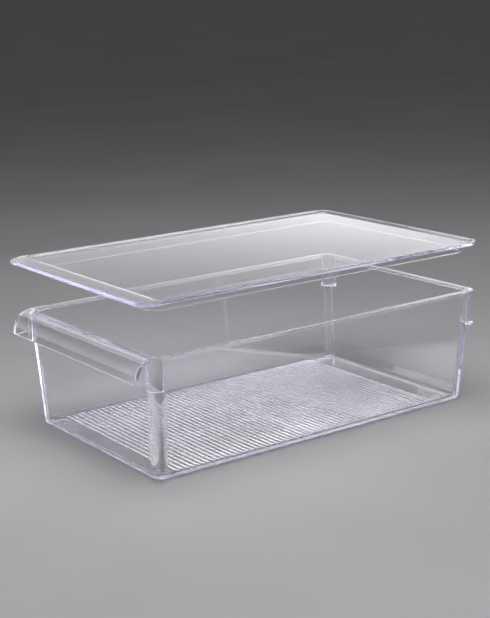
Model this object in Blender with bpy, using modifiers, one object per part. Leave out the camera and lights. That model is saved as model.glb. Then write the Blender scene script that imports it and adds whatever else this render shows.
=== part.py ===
"""A clear deli food pan with a ribbed floor, a finger grip, four corner lugs, four base pads and a lift-off lid.

Metres. X runs across the pan, Y along it with the grip at -Y, and Z up from the table at z = 0.
The lid stands raised above the pan and travels straight down until it rests on the rim.
"""

import math

import bmesh
import bpy

# Pan rim: a flat collar round the opening
RIM_HALF_X = 0.1155
RIM_HALF_Y = 0.1900
RIM_TOP = 0.1146
RIM_BAND = 0.0030
RIM_RADIUS = 0.0085
EDGE_BREAK = 0.0004

# Pan wall: drafted, one thickness all the way down
WALL = 0.0025
WALL_TOP_HALF_X = 0.1120
WALL_TOP_HALF_Y = 0.1865
WALL_BASE_HALF_X = 0.1038
WALL_BASE_HALF_Y = 0.1818
WALL_BASE_Z = 0.0048
WALL_RADIUS = 0.0055
OPENING_RADIUS = 0.0100

# Base and floor
UNDERSIDE_Z = 0.0010
UNDERSIDE_RADIUS = 0.0080
FLOOR_Z = 0.0038
FLOOR_FILLET = 0.0040

# Cross ribs on the floor
RIB_COUNT = 56
RIB_PITCH = 0.0055
RIB_WIDTH = 0.00275
RIB_HEIGHT = 0.0010
RIB_ROOT = 0.0006
RIB_HALF_LENGTH = 0.1004
RIB_FIRST_Y = -0.1564

# Corner lugs under the rim
LUG_ARM_Y = 0.0115
LUG_FRONT_ARM_X = 0.0125
LUG_REAR_ARM_X = 0.0165
LUG_REAR_BOTTOM = 0.0800
LUG_FRONT_BOTTOM = 0.0850
LUG_TOP = 0.1130
LUG_INNER_RADIUS = 0.0045

# Finger grip: a hood that curls down in front of the wall, closed by a cheek at each end
GRIP_HALF_X = 0.1110
GRIP_CHEEK = 0.0025
GRIP_SHELL = 0.0040
GRIP_CENTRE_Y = -0.1895
GRIP_BOTTOM = 0.0933
GRIP_REACH = 0.0148
GRIP_RISE = 0.02125
GRIP_ROOT_Y = -0.1855
GRIP_LIP_ROUND = 0.0010

# Base pads
PAD_RADIUS = 0.0065
PAD_HEIGHT = 0.0022
PAD_X = 0.0890
PAD_FRONT_Y = -0.1685
PAD_REAR_Y = 0.1590
PAD_ROUND = 0.0004
SEAT_GAP = 0.0003

# Lid
LID_HALF_X = 0.1225
LID_FRONT = -0.2010
LID_REAR = 0.1875
LID_THICKNESS = 0.0040
LID_FRONT_RADIUS = 0.0245
LID_FRONT_TURN = 51
LID_REAR_RADIUS = 0.0120
LID_JOG = 0.0014
LID_JOG_Y = -0.1765
LID_BEAD = 0.0025
LID_RECESS = 0.0016
LID_SLOPE_TOP_Y = -0.1850
LID_SLOPE_FOOT_Y = -0.1790
LID_BEAD_SLOPE = 0.0006
LID_RAISED_UNDERSIDE = 0.1612
SKIRT_HALF_X = 0.1080
SKIRT_FRONT = -0.1825
SKIRT_REAR = 0.1825
SKIRT_WALL = 0.0022
SKIRT_DEPTH = 0.0085
SKIRT_RADIUS = 0.0120
SKIRT_ROOT = 0.0010

# The frame's origin is midway between the grip's lip and the rim's rear edge
PAN_Y = (GRIP_REACH - GRIP_CENTRE_Y - RIM_HALF_Y) / 2

CORNER_STEPS = 6
ROUND_STEPS = 4
GRIP_STEPS = 10
PAD_SIDES = 32


def arc(centre_a, centre_b, radius_a, radius_b, start, end, steps):
    """Points on an elliptical arc, from start to end in degrees."""
    points = []
    for step in range(steps + 1):
        angle = math.radians(start + (end - start) * step / steps)
        points.append((centre_a + radius_a * math.cos(angle), centre_b + radius_b * math.sin(angle)))
    return points


def outline(half_x, front, rear, z, front_radius, rear_radius, jog=None, front_turn=90):
    """A rounded rectangle, anticlockwise from the right rear corner.

    jog adds two points to each long side: (half width behind them, y of the rear one, y of the front one).
    front_turn is how far each front round turns, in degrees: under 90 it meets the front edge at a corner.
    """
    rear_half_x = jog[0] if jog else half_x
    flat = arc(rear_half_x - rear_radius, rear - rear_radius, rear_radius, rear_radius, 0, 90, CORNER_STEPS)
    flat += arc(rear_radius - rear_half_x, rear - rear_radius, rear_radius, rear_radius, 90, 180, CORNER_STEPS)
    if jog:
        flat += [(-rear_half_x, jog[1]), (-half_x, jog[2])]
    centre_x = half_x - front_radius
    centre_y = front + front_radius * math.sin(math.radians(front_turn))
    round_end = 180 + front_turn
    flat += arc(-centre_x, centre_y, front_radius, front_radius, 180, round_end, CORNER_STEPS)
    flat += arc(centre_x, centre_y, front_radius, front_radius, 540 - round_end, 360, CORNER_STEPS)
    if jog:
        flat += [(half_x, jog[2]), (rear_half_x, jog[1])]
    return [(x, y, z) for x, y in flat]


def centred_outline(half_x, half_y, z, radius):
    return outline(half_x, -half_y, half_y, z, radius, radius)


def loft(rings, tube=False):
    """A mesh through rings of equal length: capped at both ends, or joined end to end as a tube."""
    bm = bmesh.new()
    rows = [[bm.verts.new(point) for point in ring] for ring in rings]
    count = len(rows[0])
    following = rows[1:] + rows[:1] if tube else rows[1:]
    for lower, upper in zip(rows, following):
        for i in range(count):
            j = (i + 1) % count
            bm.faces.new((lower[i], lower[j], upper[j], upper[i]))
    if not tube:
        bm.faces.new(reversed(rows[0]))
        bm.faces.new(rows[-1])
    bmesh.ops.recalc_face_normals(bm, faces=bm.faces)
    return bm


def boxes(extents):
    """Separate boxes, each from its lowest and highest corner."""
    bm = bmesh.new()
    for low, high in extents:
        made = bmesh.ops.create_cube(bm, size=1.0)["verts"]
        size = [top - bottom for bottom, top in zip(low, high)]
        middle = [(top + bottom) / 2 for bottom, top in zip(low, high)]
        bmesh.ops.scale(bm, vec=size, verts=made)
        bmesh.ops.translate(bm, vec=middle, verts=made)
    return bm


def merged(meshes):
    """Several bmeshes as one, still separate bodies."""
    whole = bmesh.new()
    for bm in meshes:
        data = bpy.data.meshes.new("piece")
        bm.to_mesh(data)
        bm.free()
        whole.from_mesh(data)
        bpy.data.meshes.remove(data)
    return whole


def add_object(name, bm, collection, location=(0, 0, 0), material=None):
    mesh = bpy.data.meshes.new(name)
    bm.to_mesh(mesh)
    bm.free()
    if material:
        mesh.materials.append(material)
        mesh.shade_smooth()
        mesh.set_sharp_from_angle(angle=math.radians(30))
    made = bpy.data.objects.new(name, mesh)
    made.location = location
    collection.objects.link(made)
    return made


def add_helper(name, bm, collection, location=(0, 0, 0)):
    made = add_object(name, bm, collection, location)
    made.hide_render = True
    made.display_type = "WIRE"
    return made


def add_boolean(target, other, operation):
    modifier = target.modifiers.new(f"{operation.lower()}_{other.name}", "BOOLEAN")
    modifier.operation = operation
    modifier.solver = "EXACT"
    modifier.object = other


def add_material(name, color, roughness, alpha):
    material = bpy.data.materials.new(name)
    material.use_nodes = True
    shader = material.node_tree.nodes["Principled BSDF"]
    shader.inputs["Base Color"].default_value = (*color, 1.0)
    shader.inputs["Roughness"].default_value = roughness
    shader.inputs["Metallic"].default_value = 0.0
    shader.inputs["Alpha"].default_value = alpha
    return material


def wall_half(z):
    """Half width and half length of the wall's outer face at height z."""
    share = (z - WALL_BASE_Z) / (RIM_TOP - RIM_BAND - WALL_BASE_Z)
    half_x = WALL_BASE_HALF_X + share * (WALL_TOP_HALF_X - WALL_BASE_HALF_X)
    half_y = WALL_BASE_HALF_Y + share * (WALL_TOP_HALF_Y - WALL_BASE_HALF_Y)
    return half_x, half_y


def pan_shell():
    """Underside, rounded base, outer wall, rim, inner wall, fillet and floor as one loft."""
    rings = []
    base_round = WALL_BASE_Z - UNDERSIDE_Z
    for step in range(ROUND_STEPS + 1):
        angle = math.radians(90 * step / ROUND_STEPS)
        inset = base_round * (1 - math.sin(angle))
        z = UNDERSIDE_Z + base_round * (1 - math.cos(angle))
        radius = UNDERSIDE_RADIUS + (WALL_RADIUS - UNDERSIDE_RADIUS) * step / ROUND_STEPS
        rings.append(centred_outline(WALL_BASE_HALF_X - inset, WALL_BASE_HALF_Y - inset, z, radius))
    band_bottom = RIM_TOP - RIM_BAND
    rings.append(centred_outline(WALL_TOP_HALF_X, WALL_TOP_HALF_Y, band_bottom, WALL_RADIUS))
    rings.append(centred_outline(RIM_HALF_X, RIM_HALF_Y, band_bottom, RIM_RADIUS))
    rings.append(centred_outline(RIM_HALF_X, RIM_HALF_Y, RIM_TOP - EDGE_BREAK, RIM_RADIUS))
    rings.append(centred_outline(RIM_HALF_X - EDGE_BREAK, RIM_HALF_Y - EDGE_BREAK, RIM_TOP, RIM_RADIUS))
    mouth_x = WALL_TOP_HALF_X - WALL
    mouth_y = WALL_TOP_HALF_Y - WALL
    rings.append(centred_outline(mouth_x + EDGE_BREAK, mouth_y + EDGE_BREAK, RIM_TOP, OPENING_RADIUS))
    rings.append(centred_outline(mouth_x, mouth_y, RIM_TOP - EDGE_BREAK, OPENING_RADIUS))
    outer_x, outer_y = wall_half(FLOOR_Z + FLOOR_FILLET)
    for step in range(ROUND_STEPS + 1):
        angle = math.radians(90 * step / ROUND_STEPS)
        inset = WALL + FLOOR_FILLET * (1 - math.cos(angle))
        z = FLOOR_Z + FLOOR_FILLET * (1 - math.sin(angle))
        rings.append(centred_outline(outer_x - inset, outer_y - inset, z, OPENING_RADIUS))
    return loft(rings)


def floor_ribs():
    extents = []
    for i in range(RIB_COUNT):
        y = RIB_FIRST_Y + i * RIB_PITCH
        low = (-RIB_HALF_LENGTH, y - RIB_WIDTH / 2, FLOOR_Z - RIB_ROOT)
        high = (RIB_HALF_LENGTH, y + RIB_WIDTH / 2, FLOOR_Z + RIB_HEIGHT)
        extents.append((low, high))
    return boxes(extents)


def lug_section(z, arm_x, side_x, side_y):
    """An angle round one corner: flush with the rim outside, and in the middle of the wall inside."""
    wall_x, wall_y = wall_half(z)
    inner_x = wall_x - WALL / 2
    inner_y = wall_y - WALL / 2
    end_x = RIM_HALF_X - arm_x
    end_y = RIM_HALF_Y - LUG_ARM_Y
    corner_x = RIM_HALF_X - RIM_RADIUS
    corner_y = RIM_HALF_Y - RIM_RADIUS
    centre_x = inner_x - LUG_INNER_RADIUS
    centre_y = inner_y - LUG_INNER_RADIUS
    flat = [(inner_x, end_y), (RIM_HALF_X, end_y)]
    flat += arc(corner_x, corner_y, RIM_RADIUS, RIM_RADIUS, 0, 90, CORNER_STEPS)
    flat += [(end_x, RIM_HALF_Y), (end_x, inner_y)]
    flat += arc(centre_x, centre_y, LUG_INNER_RADIUS, LUG_INNER_RADIUS, 90, 0, CORNER_STEPS)
    return [(side_x * x, side_y * y, z) for x, y in flat]


def corner_lugs():
    lugs = []
    for side_y, bottom, arm_x in (
        (-1, LUG_FRONT_BOTTOM, LUG_FRONT_ARM_X),
        (1, LUG_REAR_BOTTOM, LUG_REAR_ARM_X),
    ):
        for side_x in (-1, 1):
            lugs.append(loft([lug_section(z, arm_x, side_x, side_y) for z in (bottom, LUG_TOP)]))
    return merged(lugs)


def extruded(profile, half_x):
    """A profile of (y, z) points, extruded across the pan."""
    return loft([[(x, y, z) for y, z in profile] for x in (-half_x, half_x)])


def grip_block():
    """The grip's outer form, solid back to its root inside the wall."""
    lip_y = GRIP_CENTRE_Y - GRIP_REACH
    lip_z = GRIP_BOTTOM + GRIP_LIP_ROUND
    profile = arc(GRIP_CENTRE_Y, lip_z, GRIP_REACH, GRIP_RISE - GRIP_LIP_ROUND, 90, 180, GRIP_STEPS)
    profile += arc(lip_y + GRIP_LIP_ROUND, lip_z, GRIP_LIP_ROUND, GRIP_LIP_ROUND, 180, 270, ROUND_STEPS)[1:]
    profile += [(GRIP_ROOT_Y, GRIP_BOTTOM), (GRIP_ROOT_Y, GRIP_BOTTOM + GRIP_RISE)]
    return extruded(profile, GRIP_HALF_X)


def grip_pocket():
    """The finger space under the grip, open downwards and through to the wall."""
    reach = GRIP_REACH - GRIP_SHELL
    rise = GRIP_RISE - GRIP_SHELL
    profile = arc(GRIP_CENTRE_Y, GRIP_BOTTOM, reach, rise, 90, 180, GRIP_STEPS)
    behind_root = GRIP_ROOT_Y + WALL
    below_lip = GRIP_BOTTOM - GRIP_SHELL
    profile += [(GRIP_CENTRE_Y - reach, below_lip), (behind_root, below_lip)]
    profile += [(behind_root, GRIP_BOTTOM + rise)]
    return extruded(profile, GRIP_HALF_X - GRIP_CHEEK)


def disc(radius, low, high, sides):
    """An upright cylinder about the object's origin."""
    bm = bmesh.new()
    made = bmesh.ops.create_cone(
        bm, cap_ends=True, segments=sides, radius1=radius, radius2=radius, depth=high - low
    )["verts"]
    bmesh.ops.translate(bm, vec=(0, 0, (high + low) / 2), verts=made)
    return bm


def pad_places():
    """Name and centre of each base pad, in the pan's own frame."""
    return {
        "foot_front_left": (-PAD_X, PAD_FRONT_Y),
        "foot_front_right": (PAD_X, PAD_FRONT_Y),
        "foot_rear_left": (-PAD_X, PAD_REAR_Y),
        "foot_rear_right": (PAD_X, PAD_REAR_Y),
    }


def pad_seats():
    seats = []
    for x, y in pad_places().values():
        seat = disc(PAD_RADIUS + SEAT_GAP, -UNDERSIDE_Z, PAD_HEIGHT + SEAT_GAP, PAD_SIDES)
        bmesh.ops.translate(seat, vec=(x, y, 0), verts=seat.verts)
        seats.append(seat)
    return merged(seats)


def lid_slab():
    """Flat underside, edge, top strip with its bead, and the recessed panel, with z = 0 at the underside."""
    side_half_x = LID_HALF_X - LID_JOG
    jog_front = LID_JOG_Y - LID_JOG / 2
    jog_rear = LID_JOG_Y + LID_JOG / 2

    def edge(z, inset):
        return outline(
            LID_HALF_X - inset,
            LID_FRONT + inset,
            LID_REAR - inset,
            z,
            LID_FRONT_RADIUS - inset,
            LID_REAR_RADIUS - inset,
            (side_half_x - inset, jog_rear, jog_front),
            LID_FRONT_TURN,
        )

    def recess(z, inset, front):
        half_x = side_half_x - LID_BEAD - inset
        radius = LID_REAR_RADIUS - LID_BEAD - inset
        rear_point = front + radius + LID_BEAD
        front_point = rear_point - LID_JOG
        rear = LID_REAR - LID_BEAD - inset
        return outline(half_x, front, rear, z, radius, radius, (half_x, rear_point, front_point))

    rings = [
        edge(0, EDGE_BREAK),
        edge(EDGE_BREAK, 0),
        edge(LID_THICKNESS - EDGE_BREAK, 0),
        edge(LID_THICKNESS, EDGE_BREAK),
        recess(LID_THICKNESS, 0, LID_SLOPE_TOP_Y),
        recess(LID_THICKNESS - LID_RECESS, LID_BEAD_SLOPE, LID_SLOPE_FOOT_Y),
    ]
    return loft(rings)


def lid_skirt():
    """The plug under the lid that drops inside the pan's mouth."""

    def ring(inset, z):
        return outline(
            SKIRT_HALF_X - inset,
            SKIRT_FRONT + inset,
            SKIRT_REAR - inset,
            z,
            SKIRT_RADIUS - inset,
            SKIRT_RADIUS - inset,
        )

    return loft(
        [
            ring(SKIRT_WALL, SKIRT_ROOT),
            ring(SKIRT_WALL, EDGE_BREAK - SKIRT_DEPTH),
            ring(SKIRT_WALL - EDGE_BREAK, -SKIRT_DEPTH),
            ring(EDGE_BREAK, -SKIRT_DEPTH),
            ring(0, EDGE_BREAK - SKIRT_DEPTH),
            ring(0, SKIRT_ROOT),
        ],
        tube=True,
    )


def clear_scene():
    for old in list(bpy.data.objects):
        bpy.data.objects.remove(old, do_unlink=True)


def build_pan(parts, helpers):
    place = (0, PAN_Y, 0)
    clear = add_material("clear_pan", (0.78, 0.79, 0.90), 0.06, 0.35)
    pan = add_object("pan_body", pan_shell(), parts, place, clear)
    grip = add_helper("grip_form", grip_block(), helpers, place)
    add_boolean(grip, add_helper("grip_pocket", grip_pocket(), helpers, place), "DIFFERENCE")
    add_boolean(pan, add_helper("floor_ribs", floor_ribs(), helpers, place), "UNION")
    add_boolean(pan, add_helper("corner_lugs", corner_lugs(), helpers, place), "UNION")
    add_boolean(pan, grip, "UNION")
    add_boolean(pan, add_helper("pad_seats", pad_seats(), helpers, place), "DIFFERENCE")


def build_pads(parts):
    grey = add_material("soft_grey", (0.52, 0.53, 0.56), 0.55, 1.0)
    for name, (x, y) in pad_places().items():
        pad = add_object(name, disc(PAD_RADIUS, 0, PAD_HEIGHT, PAD_SIDES), parts, (x, PAN_Y + y, 0), grey)
        bevel = pad.modifiers.new("rounded_edges", "BEVEL")
        bevel.width = PAD_ROUND
        bevel.segments = 2
        bevel.angle_limit = math.radians(40)


def build_lid(parts, helpers):
    clear = add_material("clear_lid", (0.80, 0.80, 0.90), 0.06, 0.35)
    lift = bpy.data.objects.new("lid_lift_axis", None)
    lift.location = (0, PAN_Y, LID_RAISED_UNDERSIDE)
    parts.objects.link(lift)
    lid = add_object("lid", lid_slab(), parts, material=clear)
    skirt = add_helper("lid_skirt", lid_skirt(), helpers)
    lid.parent = lift
    skirt.parent = lift
    add_boolean(lid, skirt, "UNION")


def main():
    clear_scene()
    parts = bpy.data.collections.new("deli_food_pan")
    helpers = bpy.data.collections.new("deli_food_pan_helpers")
    bpy.context.scene.collection.children.link(parts)
    bpy.context.scene.collection.children.link(helpers)
    build_pan(parts, helpers)
    build_pads(parts)
    build_lid(parts, helpers)


main()
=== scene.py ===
"""The looks of a clear deli food pan: polished plastic pan and raised lid, and soft pale grey base pads.

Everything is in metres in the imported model's frame: X across the pan, Y along it with the grip at -Y, Z up.
"""

import math

import bmesh
import bpy
from mathutils import Matrix, Vector


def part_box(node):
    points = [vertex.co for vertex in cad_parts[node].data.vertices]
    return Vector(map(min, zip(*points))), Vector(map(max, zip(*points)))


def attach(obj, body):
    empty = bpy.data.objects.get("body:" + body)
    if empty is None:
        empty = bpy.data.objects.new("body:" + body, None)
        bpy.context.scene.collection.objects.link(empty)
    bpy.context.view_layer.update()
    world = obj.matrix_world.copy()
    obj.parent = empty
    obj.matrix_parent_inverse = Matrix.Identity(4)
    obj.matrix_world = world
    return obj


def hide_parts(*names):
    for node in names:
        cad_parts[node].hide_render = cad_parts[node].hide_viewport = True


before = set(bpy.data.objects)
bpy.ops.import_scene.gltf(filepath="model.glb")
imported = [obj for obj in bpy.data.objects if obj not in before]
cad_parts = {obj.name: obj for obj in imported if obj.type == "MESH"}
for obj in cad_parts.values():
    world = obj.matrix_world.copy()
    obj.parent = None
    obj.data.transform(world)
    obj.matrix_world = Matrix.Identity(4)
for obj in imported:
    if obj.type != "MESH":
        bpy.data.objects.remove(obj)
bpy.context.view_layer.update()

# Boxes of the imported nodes
PAN_LOW, PAN_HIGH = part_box("pan_body")
LID_LOW, LID_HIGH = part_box("lid")
PAD_NODES = ("foot_front_left", "foot_front_right", "foot_rear_left", "foot_rear_right")

# Pan: the rim is centred on the pan, and the grip reaches further at -Y
RIM_HALF_X = PAN_HIGH.x
RIM_HALF_Y = 0.1900
PAN_Y = PAN_HIGH.y - RIM_HALF_Y
RIM_TOP = PAN_HIGH.z
RIM_BAND = 0.0030
RIM_RADIUS = 0.0085
RIM_ROUND = 0.0007
BAND_ROUND = 0.0005
WALL = 0.0025
WALL_TOP_HALF_X = RIM_HALF_X - 0.0035
WALL_TOP_HALF_Y = RIM_HALF_Y - 0.0035
WALL_BASE_HALF_X = 0.1038
WALL_BASE_HALF_Y = 0.1818
WALL_BASE_Z = 0.0048
WALL_RADIUS = 0.0055
OPENING_RADIUS = 0.0100
UNDERSIDE_Z = PAN_LOW.z
UNDERSIDE_RADIUS = 0.0080
FLOOR_Z = 0.0038
FLOOR_FILLET = 0.0040

# Floor ribs
RIB_COUNT = 56
RIB_PITCH = 0.0055
RIB_WIDTH = 0.0030
RIB_HEIGHT = 0.0010
RIB_ROOT = 0.0006
RIB_HALF_LENGTH = 0.1003
RIB_FIRST_Y = -0.1564

# Mark left by the moulding gate in the middle of the floor
GATE_X = 0.0060
GATE_Y = -0.0040
GATE_RADIUS = 0.0038
GATE_HEIGHT = 0.0013

# Corner lugs
LUG_ARM_Y = 0.0115
LUG_FRONT_ARM_X = 0.0125
LUG_REAR_ARM_X = 0.0165
LUG_REAR_BOTTOM = 0.0800
LUG_FRONT_BOTTOM = 0.0850
LUG_TOP = 0.1130
LUG_INNER_RADIUS = 0.0045
LUG_ROUND = 0.0007

# Finger grip
GRIP_HALF_X = 0.1110
GRIP_CHEEK = 0.0025
GRIP_SHELL = 0.0040
GRIP_CENTRE_Y = -0.1895
GRIP_BOTTOM = 0.0933
GRIP_REACH = 0.0148
GRIP_RISE = 0.02125
GRIP_ROOT_Y = -0.1855
GRIP_LIP_ROUND = 0.0018
GRIP_END_ROUND = 0.0007

# Lid, measured from its flat underside
LID_THICKNESS = 0.0040
LID_UNDERSIDE = LID_HIGH.z - LID_THICKNESS
LID_HALF_X = LID_HIGH.x
LID_FRONT = LID_LOW.y - PAN_Y
LID_REAR = LID_HIGH.y - PAN_Y
LID_FRONT_RADIUS = 0.0245
LID_FRONT_TURN = 51
LID_REAR_RADIUS = 0.0120
LID_JOG = 0.0014
LID_JOG_Y = -0.1765
LID_BEAD = 0.0025
LID_RECESS = 0.0016
LID_SLOPE_TOP_Y = -0.1850
LID_SLOPE_FOOT_Y = -0.1790
LID_BEAD_SLOPE = 0.0006
LID_ROUND = 0.0007
SKIRT_HALF_X = 0.1080
SKIRT_FRONT = -0.1825
SKIRT_REAR = 0.1825
SKIRT_WALL = 0.0022
SKIRT_DEPTH = LID_UNDERSIDE - LID_LOW.z
SKIRT_RADIUS = 0.0120
SKIRT_ROOT = 0.0010
SKIRT_ROUND = 0.0005

# Base pads
PAD_ROUND = 0.0005
PAD_SEAT_GAP = 0.0003

CORNER_STEPS = 16
ROUND_STEPS = 6
GRIP_STEPS = 24
RIB_STEPS = 10
PAD_STEPS = 64
SHARP_ANGLE = math.radians(40)

# Noise lies between these values nearly everywhere
NOISE_LOW = 0.3
NOISE_HIGH = 0.7

# Clear plastic
PLASTIC_IOR = 1.57
PLASTIC_TINT = (0.76, 0.73, 0.89, 1)
PLASTIC_DENSITY = 4.5
GATE_ROUGHNESS = 0.3
STRIP_ROUGHNESS = 0.16
STRIP_INSET = 0.001
SATIN_EDGE = 0.0003

# Camera
CAMERA_TARGET = Vector((-0.0281, PAN_Y + 0.0103, 0.0977))
CAMERA_DISTANCE = 1.35
CAMERA_AZIMUTH = math.radians(54.22)
CAMERA_ELEVATION = math.radians(14.12)
CAMERA_ROLL = math.radians(-1.455)
CAMERA_LENS = 78.73


# ---------------------------------------------------------------- mesh helpers


def arc(centre_a, centre_b, radius_a, radius_b, start, end, steps):
    """Points on an elliptical arc, from start to end in degrees."""
    points = []
    for step in range(steps + 1):
        angle = math.radians(start + (end - start) * step / steps)
        points.append((centre_a + radius_a * math.cos(angle), centre_b + radius_b * math.sin(angle)))
    return points


def outline(half_x, front, rear, z, front_radius, rear_radius, jog=None, front_turn=90):
    """A rounded rectangle, anticlockwise from the right rear corner.

    jog adds two points to each long side: (half width behind them, y of the rear one, y of the front one).
    front_turn is how far each front round turns, in degrees: under 90 it meets the front edge at a corner.
    """
    rear_half_x = jog[0] if jog else half_x
    corner = (rear_radius, rear_radius)
    flat = arc(rear_half_x - rear_radius, rear - rear_radius, *corner, 0, 90, CORNER_STEPS)
    flat += arc(rear_radius - rear_half_x, rear - rear_radius, *corner, 90, 180, CORNER_STEPS)
    if jog:
        flat += [(-rear_half_x, jog[1]), (-half_x, jog[2])]
    corner = (front_radius, front_radius)
    centre_x = half_x - front_radius
    centre_y = front + front_radius * math.sin(math.radians(front_turn))
    round_end = 180 + front_turn
    flat += arc(-centre_x, centre_y, *corner, 180, round_end, CORNER_STEPS)
    flat += arc(centre_x, centre_y, *corner, 540 - round_end, 360, CORNER_STEPS)
    if jog:
        flat += [(half_x, jog[2]), (rear_half_x, jog[1])]
    return [(x, y + PAN_Y, z) for x, y in flat]


def round_rings(half_x, half_y, z, corner, radius, start, end):
    """Rings that round an edge of the pan: half sizes and z are those of the round's centre line."""
    rings = []
    for out, up in arc(0, 0, radius, radius, start, end, ROUND_STEPS):
        plan = corner + out
        rings.append(outline(half_x + out, -half_y - out, half_y + out, z + up, plan, plan))
    return rings


def loft(rings, tube=False):
    """A mesh through rings of equal length: capped at both ends, or joined end to end as a tube."""
    bm = bmesh.new()
    rows = [[bm.verts.new(point) for point in ring] for ring in rings]
    count = len(rows[0])
    following = rows[1:] + rows[:1] if tube else rows[1:]
    for lower, upper in zip(rows, following):
        for i in range(count):
            j = (i + 1) % count
            bm.faces.new((lower[i], lower[j], upper[j], upper[i]))
    if not tube:
        bm.faces.new(reversed(rows[0]))
        bm.faces.new(rows[-1])
    if bm.calc_volume(signed=True) < 0:
        bmesh.ops.reverse_faces(bm, faces=bm.faces)
    return bm


def merged(meshes):
    """Several bmeshes as one, still separate bodies."""
    whole = bmesh.new()
    for bm in meshes:
        data = bpy.data.meshes.new("piece")
        bm.to_mesh(data)
        bm.free()
        whole.from_mesh(data)
        bpy.data.meshes.remove(data)
    return whole


def new_object(name, bm):
    mesh = bpy.data.meshes.new(name)
    bm.to_mesh(mesh)
    bm.free()
    made = bpy.data.objects.new(name, mesh)
    bpy.context.scene.collection.objects.link(made)
    return made


def combine(target, bm, operation):
    """Applies one exact Boolean to target with a temporary object."""
    other = new_object("cutter", bm)
    modifier = target.modifiers.new("combine", "BOOLEAN")
    modifier.operation = operation
    modifier.solver = "EXACT"
    modifier.object = other
    graph = bpy.context.evaluated_depsgraph_get()
    made = bpy.data.meshes.new_from_object(target.evaluated_get(graph))
    old = target.data
    target.modifiers.clear()
    target.data = made
    bpy.data.meshes.remove(old)
    bpy.data.objects.remove(other, do_unlink=True)


def shade(target):
    """Smooth shading in which flat faces stay flat and the rounded edges take the bend."""
    target.data.shade_smooth()
    target.data.set_sharp_from_angle(angle=SHARP_ANGLE)
    weighted = target.modifiers.new("flat_faces", "WEIGHTED_NORMAL")
    weighted.keep_sharp = True


# ---------------------------------------------------------------- pan


def wall_half(z):
    """Half width and half length of the wall's outer face at height z."""
    share = (z - WALL_BASE_Z) / (RIM_TOP - RIM_BAND - WALL_BASE_Z)
    half_x = WALL_BASE_HALF_X + share * (WALL_TOP_HALF_X - WALL_BASE_HALF_X)
    half_y = WALL_BASE_HALF_Y + share * (WALL_TOP_HALF_Y - WALL_BASE_HALF_Y)
    return half_x, half_y


def pan_shell():
    """Underside, rounded base, outer wall, rim, inner wall, fillet and floor as one loft."""
    rings = []
    base = WALL_BASE_Z - UNDERSIDE_Z
    for out, up in arc(0, 0, base, base, -90, 0, ROUND_STEPS):
        plan = WALL_RADIUS + (UNDERSIDE_RADIUS - WALL_RADIUS) * (1 - out / base)
        half_x = WALL_BASE_HALF_X - base + out
        half_y = WALL_BASE_HALF_Y - base + out
        rings.append(outline(half_x, -half_y, half_y, WALL_BASE_Z + up, plan, plan))

    # Under the rim: a small fillet, then the band's two rounded edges
    band = RIM_TOP - RIM_BAND
    root = BAND_ROUND
    rings += round_rings(
        WALL_TOP_HALF_X + root, WALL_TOP_HALF_Y + root, band - root, WALL_RADIUS + root, root, 180, 90
    )
    edge_x = RIM_HALF_X - BAND_ROUND
    edge_y = RIM_HALF_Y - BAND_ROUND
    rings += round_rings(edge_x, edge_y, band + BAND_ROUND, RIM_RADIUS - BAND_ROUND, BAND_ROUND, -90, 0)
    edge_x = RIM_HALF_X - RIM_ROUND
    edge_y = RIM_HALF_Y - RIM_ROUND
    rings += round_rings(edge_x, edge_y, RIM_TOP - RIM_ROUND, RIM_RADIUS - RIM_ROUND, RIM_ROUND, 0, 90)

    # The mouth's edge, the inner wall and the fillet down to the floor
    mouth_x = WALL_TOP_HALF_X - WALL + RIM_ROUND
    mouth_y = WALL_TOP_HALF_Y - WALL + RIM_ROUND
    rings += round_rings(
        mouth_x, mouth_y, RIM_TOP - RIM_ROUND, OPENING_RADIUS + RIM_ROUND, RIM_ROUND, 90, 180
    )
    outer_x, outer_y = wall_half(FLOOR_Z + FLOOR_FILLET)
    inner_x = outer_x - WALL
    inner_y = outer_y - WALL
    for out, up in arc(0, 0, FLOOR_FILLET, FLOOR_FILLET, 0, -90, ROUND_STEPS):
        half_x = inner_x - FLOOR_FILLET + out
        half_y = inner_y - FLOOR_FILLET + out
        z = FLOOR_Z + FLOOR_FILLET + up
        rings.append(outline(half_x, -half_y, half_y, z, OPENING_RADIUS, OPENING_RADIUS))
    return loft(rings)


def floor_ribs():
    """Half-round ribs across the floor."""
    ribs = []
    for i in range(RIB_COUNT):
        y = PAN_Y + RIB_FIRST_Y + i * RIB_PITCH
        profile = [(y + RIB_WIDTH / 2, FLOOR_Z - RIB_ROOT)]
        profile += arc(y, FLOOR_Z, RIB_WIDTH / 2, RIB_HEIGHT, 0, 180, RIB_STEPS)
        profile += [(y - RIB_WIDTH / 2, FLOOR_Z - RIB_ROOT)]
        ribs.append(loft([[(x, a, b) for a, b in profile] for x in (-RIB_HALF_LENGTH, RIB_HALF_LENGTH)]))
    return merged(ribs)


def gate_mark():
    """A low round button over the ribs."""
    rings = []
    for out, up in arc(0, 0, GATE_RADIUS, GATE_HEIGHT, 0, 75, ROUND_STEPS):
        rings.append((out, FLOOR_Z + up))
    rings.insert(0, (GATE_RADIUS, FLOOR_Z - RIB_ROOT))
    turned = []
    for radius, z in rings:
        flat = arc(GATE_X, PAN_Y + GATE_Y, radius, radius, 0, 360, PAD_STEPS)[:-1]
        turned.append([(x, y, z) for x, y in flat])
    return loft(turned)


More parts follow.
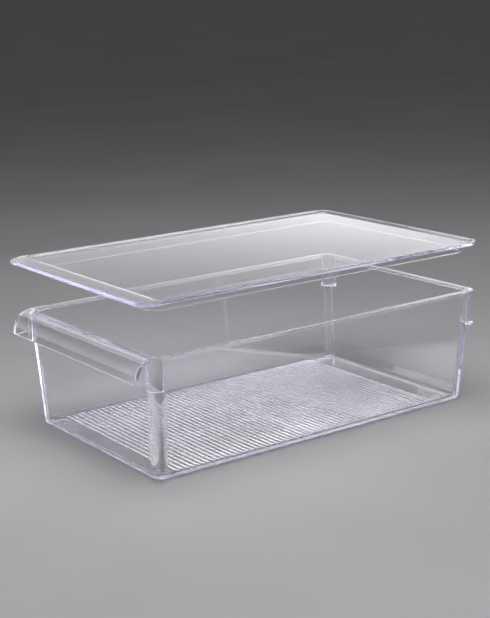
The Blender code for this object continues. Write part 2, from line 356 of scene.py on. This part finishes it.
def lug_section(z, inset, arm_x, side_x, side_y):
    """An angle round one corner: flush with the rim outside, and in the middle of the wall inside."""
    wall_x, wall_y = wall_half(z)
    inner_x = wall_x - WALL / 2
    inner_y = wall_y - WALL / 2
    outer_x = RIM_HALF_X - inset
    outer_y = RIM_HALF_Y - inset
    end_x = RIM_HALF_X - arm_x + inset
    end_y = RIM_HALF_Y - LUG_ARM_Y + inset
    corner = RIM_RADIUS - inset
    small = LUG_ROUND
    turn = LUG_INNER_RADIUS
    flat = [(inner_x, end_y)]
    flat += arc(outer_x - small, end_y + small, small, small, -90, 0, ROUND_STEPS)
    flat += arc(outer_x - corner, outer_y - corner, corner, corner, 0, 90, CORNER_STEPS)
    flat += arc(end_x + small, outer_y - small, small, small, 90, 180, ROUND_STEPS)
    flat += [(end_x, inner_y)]
    flat += arc(inner_x - turn, inner_y - turn, turn, turn, 90, 0, CORNER_STEPS)
    return [(side_x * x, PAN_Y + side_y * y, z) for x, y in flat]


def corner_lugs():
    lugs = []
    for side_y, bottom, arm_x in (
        (-1, LUG_FRONT_BOTTOM, LUG_FRONT_ARM_X),
        (1, LUG_REAR_BOTTOM, LUG_REAR_ARM_X),
    ):
        for side_x in (-1, 1):
            rings = []
            for out, up in arc(0, 0, LUG_ROUND, LUG_ROUND, -90, 0, ROUND_STEPS):
                rings.append(lug_section(bottom + LUG_ROUND + up, LUG_ROUND - out, arm_x, side_x, side_y))
            rings.append(lug_section(LUG_TOP, 0, arm_x, side_x, side_y))
            lugs.append(loft(rings))
    return merged(lugs)


def grip_section(x, inset):
    """The grip's outer profile at one x, drawn in by inset."""
    lip = GRIP_LIP_ROUND
    reach = GRIP_REACH - inset
    bottom = GRIP_BOTTOM + inset
    lip_y = GRIP_CENTRE_Y - reach
    rise = GRIP_RISE - lip - 2 * inset
    profile = arc(GRIP_CENTRE_Y, bottom + lip, reach, rise, 90, 180, GRIP_STEPS)
    profile += arc(lip_y + lip, bottom + lip, lip, lip, 180, 270, ROUND_STEPS)[1:]
    profile += [(GRIP_ROOT_Y, bottom), (GRIP_ROOT_Y, bottom + lip + rise)]
    return [(x, PAN_Y + y, z) for y, z in profile]


def grip_block():
    """The grip's outer form with rounded ends, solid back to its root inside the wall."""
    turn = arc(0, 0, GRIP_END_ROUND, GRIP_END_ROUND, 90, 0, ROUND_STEPS)
    rings = []
    for side in (-1, 1):
        ends = []
        for along, out in turn:
            ends.append(grip_section(side * (GRIP_HALF_X - GRIP_END_ROUND + out), GRIP_END_ROUND - along))
        rings += ends[::-side]
    return loft(rings)


def grip_pocket():
    """The finger space under the grip, open downwards and through to the wall."""
    reach = GRIP_REACH - GRIP_SHELL
    rise = GRIP_RISE - GRIP_SHELL
    profile = arc(GRIP_CENTRE_Y, GRIP_BOTTOM, reach, rise, 90, 180, GRIP_STEPS)
    behind_root = GRIP_ROOT_Y + WALL
    below_lip = GRIP_BOTTOM - GRIP_SHELL
    profile += [(GRIP_CENTRE_Y - reach, below_lip), (behind_root, below_lip)]
    profile += [(behind_root, GRIP_BOTTOM + rise)]
    half_x = GRIP_HALF_X - GRIP_CHEEK
    return loft([[(x, PAN_Y + y, z) for y, z in profile] for x in (-half_x, half_x)])


def pad_seats():
    """Shallow round recesses under the base, one over each pad."""
    seats = []
    for node in PAD_NODES:
        low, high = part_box(node)
        centre = (low + high) / 2
        radius = (high.x - low.x) / 2 + PAD_SEAT_GAP
        flat = arc(centre.x, centre.y, radius, radius, 0, 360, PAD_STEPS)[:-1]
        seats.append(loft([[(x, y, z) for x, y in flat] for z in (-UNDERSIDE_Z, high.z + PAD_SEAT_GAP)]))
    return merged(seats)


def build_pan(material):
    grip = new_object("grip_work", grip_block())
    combine(grip, grip_pocket(), "DIFFERENCE")
    grip_mesh = bmesh.new()
    grip_mesh.from_mesh(grip.data)
    bpy.data.objects.remove(grip, do_unlink=True)

    pan = new_object("clear_pan", pan_shell())
    combine(pan, floor_ribs(), "UNION")
    combine(pan, gate_mark(), "UNION")
    combine(pan, corner_lugs(), "UNION")
    combine(pan, grip_mesh, "UNION")
    combine(pan, pad_seats(), "DIFFERENCE")
    shade(pan)
    pan.data.materials.clear()
    pan.data.materials.append(material)
    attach(pan, "pan")
    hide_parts("pan_body")
    return pan


# ---------------------------------------------------------------- lid


def lid_edge(z, inset):
    """The lid's outline at a height above its underside, with the jog where the front strip ends."""
    side_half_x = LID_HALF_X - LID_JOG
    return outline(
        LID_HALF_X - inset,
        LID_FRONT + inset,
        LID_REAR - inset,
        LID_UNDERSIDE + z,
        LID_FRONT_RADIUS - inset,
        LID_REAR_RADIUS - inset,
        (side_half_x - inset, LID_JOG_Y + LID_JOG / 2, LID_JOG_Y - LID_JOG / 2),
        LID_FRONT_TURN,
    )


def lid_recess(z, inset, front):
    """The edge of the recessed panel at one height."""
    half_x = LID_HALF_X - LID_JOG - LID_BEAD - inset
    radius = LID_REAR_RADIUS - LID_BEAD - inset
    rear = LID_REAR - LID_BEAD - inset
    rear_point = front + radius + LID_BEAD
    front_point = rear_point - LID_JOG
    jog = (half_x, rear_point, front_point)
    return outline(half_x, front, rear, LID_UNDERSIDE + z, radius, radius, jog)


def lid_slab():
    rings = []
    turn = arc(0, 0, LID_ROUND, LID_ROUND, -90, 0, ROUND_STEPS)
    for out, up in turn:
        rings.append(lid_edge(LID_ROUND + up, LID_ROUND - out))
    for out, up in reversed(turn):
        rings.append(lid_edge(LID_THICKNESS - LID_ROUND - up, LID_ROUND - out))
    # The step down to the panel: rounded over at the top, steep at the bead and a gentle slope at the strip
    slope = LID_SLOPE_FOOT_Y - LID_SLOPE_TOP_Y
    for step in range(ROUND_STEPS + 1):
        share = step / ROUND_STEPS
        drop = LID_RECESS * (1 - math.cos(math.pi * share)) / 2
        front = LID_SLOPE_TOP_Y + slope * share
        rings.append(lid_recess(LID_THICKNESS - drop, LID_BEAD_SLOPE * share, front))
    return loft(rings)


def skirt_ring(inset, z):
    return outline(
        SKIRT_HALF_X - inset,
        SKIRT_FRONT + inset,
        SKIRT_REAR - inset,
        LID_UNDERSIDE + z,
        SKIRT_RADIUS - inset,
        SKIRT_RADIUS - inset,
    )


def lid_skirt():
    """The plug under the lid, with a rounded bottom edge."""
    rings = [skirt_ring(SKIRT_WALL, SKIRT_ROOT)]
    bottom = SKIRT_ROUND - SKIRT_DEPTH
    for out, up in arc(0, 0, SKIRT_ROUND, SKIRT_ROUND, 0, -90, ROUND_STEPS):
        rings.append(skirt_ring(SKIRT_WALL - SKIRT_ROUND + out, bottom + up))
    for out, up in arc(0, 0, SKIRT_ROUND, SKIRT_ROUND, -90, 0, ROUND_STEPS):
        rings.append(skirt_ring(SKIRT_ROUND - out, bottom + up))
    rings.append(skirt_ring(0, SKIRT_ROOT))
    return loft(rings, tube=True)


def build_lid(material):
    lid = new_object("clear_lid", lid_slab())
    combine(lid, lid_skirt(), "UNION")
    shade(lid)
    lid.data.materials.clear()
    lid.data.materials.append(material)
    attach(lid, "lid")
    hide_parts("lid")
    return lid


# ---------------------------------------------------------------- base pads


def build_pad(node, material):
    """A soft round pad with a rounded lower edge and a shallow dish in its underside."""
    low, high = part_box(node)
    centre = (low + high) / 2
    radius = (high.x - low.x) / 2
    profile = [(radius * share, low.z + PAD_ROUND * 0.4) for share in (0.05, 0.5, 0.7)]
    profile += [(radius * 0.76, low.z)]
    for out, up in arc(radius - PAD_ROUND, low.z + PAD_ROUND, PAD_ROUND, PAD_ROUND, -90, 0, ROUND_STEPS):
        profile.append((out, up))
    for out, up in arc(radius - PAD_ROUND, high.z - PAD_ROUND, PAD_ROUND, PAD_ROUND, 0, 90, ROUND_STEPS):
        profile.append((out, up))
    rings = []
    for out, z in profile:
        flat = arc(centre.x, centre.y, out, out, 0, 360, PAD_STEPS)[:-1]
        rings.append([(x, y, z) for x, y in flat])
    pad = new_object(node.replace("foot", "pad"), loft(rings))
    shade(pad)
    pad.data.materials.append(material)
    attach(pad, "pan")
    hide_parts(node)
    return pad


# ---------------------------------------------------------------- materials


def new_material(name):
    material = bpy.data.materials.new(name)
    material.use_nodes = True
    nodes = material.node_tree.nodes
    return material, nodes, material.node_tree.links, nodes["Principled BSDF"]


def noise(nodes, links, scale, detail, stretch=(1, 1, 1)):
    """Noise over the object's own coordinates, stretched per axis."""
    coordinates = nodes.new("ShaderNodeTexCoord")
    mapping = nodes.new("ShaderNodeMapping")
    mapping.inputs["Scale"].default_value = stretch
    texture = nodes.new("ShaderNodeTexNoise")
    texture.inputs["Scale"].default_value = scale
    texture.inputs["Detail"].default_value = detail
    links.new(coordinates.outputs["Object"], mapping.inputs["Vector"])
    links.new(mapping.outputs["Vector"], texture.inputs["Vector"])
    return texture.outputs["Fac"]


def to_range(nodes, links, value, low, high):
    """Noise as a value from low to high."""
    span = nodes.new("ShaderNodeMapRange")
    span.inputs["From Min"].default_value = NOISE_LOW
    span.inputs["From Max"].default_value = NOISE_HIGH
    span.inputs["To Min"].default_value = low
    span.inputs["To Max"].default_value = high
    links.new(value, span.inputs["Value"])
    return span.outputs["Result"]


def graded(nodes, links, value, start, end, low, high):
    """A smooth step from low to high as value goes from start to end."""
    span = nodes.new("ShaderNodeMapRange")
    span.interpolation_type = "SMOOTHSTEP"
    span.inputs["From Min"].default_value = start
    span.inputs["From Max"].default_value = end
    span.inputs["To Min"].default_value = low
    span.inputs["To Max"].default_value = high
    links.new(value, span.inputs["Value"])
    return span.outputs["Result"]


def blend_colors(nodes, links, value, first, second):
    """Noise as a colour from first to second."""
    ramp = nodes.new("ShaderNodeValToRGB")
    ramp.color_ramp.elements[0].position = NOISE_LOW
    ramp.color_ramp.elements[0].color = (*first, 1)
    ramp.color_ramp.elements[1].position = NOISE_HIGH
    ramp.color_ramp.elements[1].color = (*second, 1)
    links.new(value, ramp.inputs["Fac"])
    return ramp.outputs["Color"]


def satin_mask(nodes, links, centre, axes, reach):
    """One inside reach of a point, over the given axes of the object's own coordinates, and zero outside."""
    coordinates = nodes.new("ShaderNodeTexCoord")
    offset = nodes.new("ShaderNodeVectorMath")
    offset.operation = "SUBTRACT"
    offset.inputs[1].default_value = centre
    flat = nodes.new("ShaderNodeVectorMath")
    flat.operation = "MULTIPLY"
    flat.inputs[1].default_value = axes
    length = nodes.new("ShaderNodeVectorMath")
    length.operation = "LENGTH"
    links.new(coordinates.outputs["Object"], offset.inputs[0])
    links.new(offset.outputs["Vector"], flat.inputs[0])
    links.new(flat.outputs["Vector"], length.inputs[0])
    return graded(nodes, links, length.outputs["Value"], reach - SATIN_EDGE, reach + SATIN_EDGE, 1.0, 0.0)


def clear_plastic(name, satin_centre, satin_axes, satin_reach, satin_roughness):
    """Polished clear styrene: faint moulding ripple and haze, and a violet tint that gathers in thick edges.

    Inside satin_reach of satin_centre, along satin_axes, the surface is satin and not polished.
    """
    material, nodes, links, shader = new_material(name)
    shader.inputs["Transmission Weight"].default_value = 1.0
    shader.inputs["IOR"].default_value = PLASTIC_IOR
    haze = noise(nodes, links, 9.0, 3.0)
    tint = blend_colors(nodes, links, haze, (0.975, 0.965, 0.985), (0.99, 0.98, 1.0))
    links.new(tint, shader.inputs["Base Color"])
    finish = nodes.new("ShaderNodeMix")
    finish.data_type = "FLOAT"
    finish.inputs["B"].default_value = satin_roughness
    mask = satin_mask(nodes, links, satin_centre, satin_axes, satin_reach)
    links.new(mask, finish.inputs["Factor"])
    links.new(to_range(nodes, links, haze, 0.004, 0.014), finish.inputs["A"])
    links.new(finish.outputs["Result"], shader.inputs["Roughness"])
    ripple = nodes.new("ShaderNodeBump")
    ripple.inputs["Strength"].default_value = 0.01
    ripple.inputs["Distance"].default_value = 0.0004
    links.new(noise(nodes, links, 28.0, 1.0, (1, 0.4, 1)), ripple.inputs["Height"])
    links.new(ripple.outputs["Normal"], shader.inputs["Normal"])
    absorption = nodes.new("ShaderNodeVolumeAbsorption")
    absorption.inputs["Color"].default_value = PLASTIC_TINT
    absorption.inputs["Density"].default_value = PLASTIC_DENSITY
    links.new(absorption.outputs["Volume"], nodes["Material Output"].inputs["Volume"])
    return material


def soft_pad_material():
    """Milky pale grey elastomer with a fine matt grain."""
    material, nodes, links, shader = new_material("soft_grey_pad")
    tone = noise(nodes, links, 260.0, 4.0)
    milk = blend_colors(nodes, links, tone, (0.78, 0.78, 0.80), (0.86, 0.86, 0.88))
    links.new(milk, shader.inputs["Base Color"])
    links.new(to_range(nodes, links, tone, 0.45, 0.65), shader.inputs["Roughness"])
    shader.inputs["Subsurface Weight"].default_value = 0.3
    shader.inputs["Subsurface Radius"].default_value = (0.002, 0.002, 0.002)
    grain = nodes.new("ShaderNodeBump")
    grain.inputs["Strength"].default_value = 0.3
    grain.inputs["Distance"].default_value = 0.0001
    links.new(noise(nodes, links, 1400.0, 2.0), grain.inputs["Height"])
    links.new(grain.outputs["Normal"], shader.inputs["Normal"])
    return material


def floor_material():
    material, nodes, links, shader = new_material("pale_floor")
    tone = noise(nodes, links, 3.0, 3.0)
    pale = blend_colors(nodes, links, tone, (0.60, 0.60, 0.61), (0.66, 0.66, 0.67))
    links.new(pale, shader.inputs["Base Color"])
    shader.inputs["Roughness"].default_value = 0.8
    shader.inputs["Specular IOR Level"].default_value = 0.0
    return material


# ---------------------------------------------------------------- stage


def build_floor():
    bm = bmesh.new()
    bmesh.ops.create_circle(bm, cap_ends=True, segments=96, radius=60.0)
    floor = new_object("floor", bm)
    floor.location.z = -0.0004
    floor.data.materials.append(floor_material())


def softbox(name, place, aim, size, power):
    light = bpy.data.lights.new(name, "AREA")
    light.shape = "RECTANGLE"
    light.size = size[0]
    light.size_y = size[1]
    light.energy = power
    lamp = bpy.data.objects.new(name, light)
    lamp.location = place
    lamp.rotation_mode = "QUATERNION"
    lamp.rotation_quaternion = (Vector(aim) - Vector(place)).to_track_quat("-Z", "Y")
    lamp.visible_camera = False
    bpy.context.scene.collection.objects.link(lamp)
    return lamp


def grade_softbox(lamp, across, upward):
    """Grades a softbox along its width and its height, each given as start, end, low and high."""
    light = lamp.data
    light.use_nodes = True
    nodes = light.node_tree.nodes
    links = light.node_tree.links
    place = nodes.new("ShaderNodeNewGeometry")
    split = nodes.new("ShaderNodeSeparateXYZ")
    links.new(place.outputs["Parametric"], split.inputs["Vector"])
    product = nodes.new("ShaderNodeMath")
    product.operation = "MULTIPLY"
    links.new(graded(nodes, links, split.outputs["X"], *across), product.inputs[0])
    links.new(graded(nodes, links, split.outputs["Y"], *upward), product.inputs[1])
    links.new(product.outputs["Value"], nodes["Emission"].inputs["Strength"])


def build_world():
    """Dim overhead and lighter round the horizon, so edges have something pale to show."""
    world = bpy.data.worlds.new("studio")
    world.use_nodes = True
    nodes = world.node_tree.nodes
    links = world.node_tree.links
    direction = nodes.new("ShaderNodeTexCoord")
    split = nodes.new("ShaderNodeSeparateXYZ")
    links.new(direction.outputs["Generated"], split.inputs["Vector"])
    sky = nodes["Background"]
    sky.inputs["Color"].default_value = (0.95, 0.94, 1.0, 1)
    links.new(graded(nodes, links, split.outputs["Z"], 0.05, 0.4, 0.7, 0.05), sky.inputs["Strength"])
    bpy.context.scene.world = world


def build_lights():
    """A low overhead box lights the floor. The others only show in the plastic, as edge light."""
    softbox("top_softbox", (0.25, -0.18, 1.25), (0.1, -0.07, 0), (1.1, 1.1), 10.5)
    back = softbox("back_softbox", (-1.9, 1.38, 0.80), (0, 0, 0.15), (3.4, 1.3), 14)
    grade_softbox(back, (0.2, 0.68, 1.95, 0.6), (0.15, 0.5, 1.25, 0.08))
    left = softbox("left_softbox", (-1.1, -1.7, 0.70), (0, 0, 0.05), (1.3, 1.3), 24)
    right = softbox("right_softbox", (1.65, 1.35, 0.70), (0, 0, 0.05), (1.6, 1.3), 50)
    high_left = softbox("high_left_softbox", (-1.6, 0.1, 1.25), (0, 0, 0.05), (1.3, 0.8), 3)
    high_right = softbox("high_right_softbox", (-0.3, 1.4, 1.45), (0, 0, 0.05), (1.3, 0.8), 6)
    along = softbox("strip_along", (-0.3, 0.95, 1.35), (0, 0, 0.05), (0.3, 1.3), 3)
    for lamp in (back, left, right, high_left, high_right, along):
        lamp.visible_diffuse = False


def build_camera():
    """A long lens from the right front, turned slightly about its own axis."""
    azimuth, elevation, roll = CAMERA_AZIMUTH, CAMERA_ELEVATION, CAMERA_ROLL
    back = Vector(
        (
            math.sin(azimuth) * math.cos(elevation),
            -math.cos(azimuth) * math.cos(elevation),
            math.sin(elevation),
        )
    )
    level = Vector((math.cos(azimuth), math.sin(azimuth), 0))
    up = back.cross(level)
    right = math.cos(roll) * level + math.sin(roll) * up
    top = math.cos(roll) * up - math.sin(roll) * level
    data = bpy.data.cameras.new("camera")
    data.lens = CAMERA_LENS
    camera = bpy.data.objects.new("camera", data)
    turn = Matrix((right, top, back)).transposed().to_4x4()
    camera.matrix_world = Matrix.Translation(CAMERA_TARGET + CAMERA_DISTANCE * back) @ turn
    bpy.context.scene.collection.objects.link(camera)
    bpy.context.scene.camera = camera


def set_light_paths():
    """Paths long enough for light guided inside the clear walls, less sparkle from it, and plain tones."""
    scene = bpy.context.scene
    scene.cycles.max_bounces = 256
    scene.cycles.glossy_bounces = 224
    scene.cycles.transmission_bounces = 96
    scene.cycles.sample_clamp_indirect = 4.0
    scene.view_settings.view_transform = "Standard"


build_camera()
set_light_paths()
build_lights()
build_world()
build_floor()
gate_centre = (GATE_X, PAN_Y + GATE_Y, FLOOR_Z + GATE_HEIGHT)
build_pan(clear_plastic("clear_pan_plastic", gate_centre, (1, 1, 1), GATE_RADIUS, GATE_ROUGHNESS))
strip_centre = (0, PAN_Y + LID_FRONT + STRIP_INSET, LID_HIGH.z)
strip_reach = LID_SLOPE_TOP_Y - LID_FRONT - STRIP_INSET
build_lid(clear_plastic("clear_lid_plastic", strip_centre, (0, 1, 1), strip_reach, STRIP_ROUGHNESS))
pad_material = soft_pad_material()
for pad_node in PAD_NODES:
    build_pad(pad_node, pad_material)
